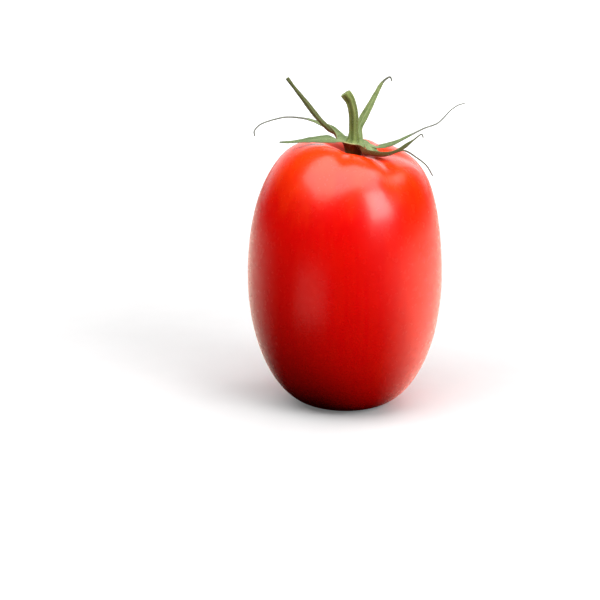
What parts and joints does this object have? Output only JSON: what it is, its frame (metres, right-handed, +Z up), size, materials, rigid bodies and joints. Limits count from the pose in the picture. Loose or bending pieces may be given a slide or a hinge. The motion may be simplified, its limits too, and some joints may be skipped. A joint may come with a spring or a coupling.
{
  "type": "plum tomato",
  "caption": "Smooth egg-shaped plum tomato standing on its blossom end, with a star of thin curling sepals and a short cut stem.",
  "frame": {"origin": "centre of the small flat spot at the blossom end, on the surface the fruit stands on", "axes": "+Z up along the fruit from the blossom end to the stem, -Y towards the front, +X to the right as seen from the front"},
  "size_m": [0.0575, 0.0518, 0.0887],
  "materials": {
    "skin": "smooth waxy skin, glossy, red with orange at the shoulder",
    "calyx_green": "matte green sepals with fine hairs and pale midribs",
    "stem_green": "matte olive green, finely ridged, with a paler cut end"
  },
  "bodies": {
    "root": {"fruit": "skin", "calyx": "calyx_green", "stem": "stem_green"}
  },
  "joints": []
}
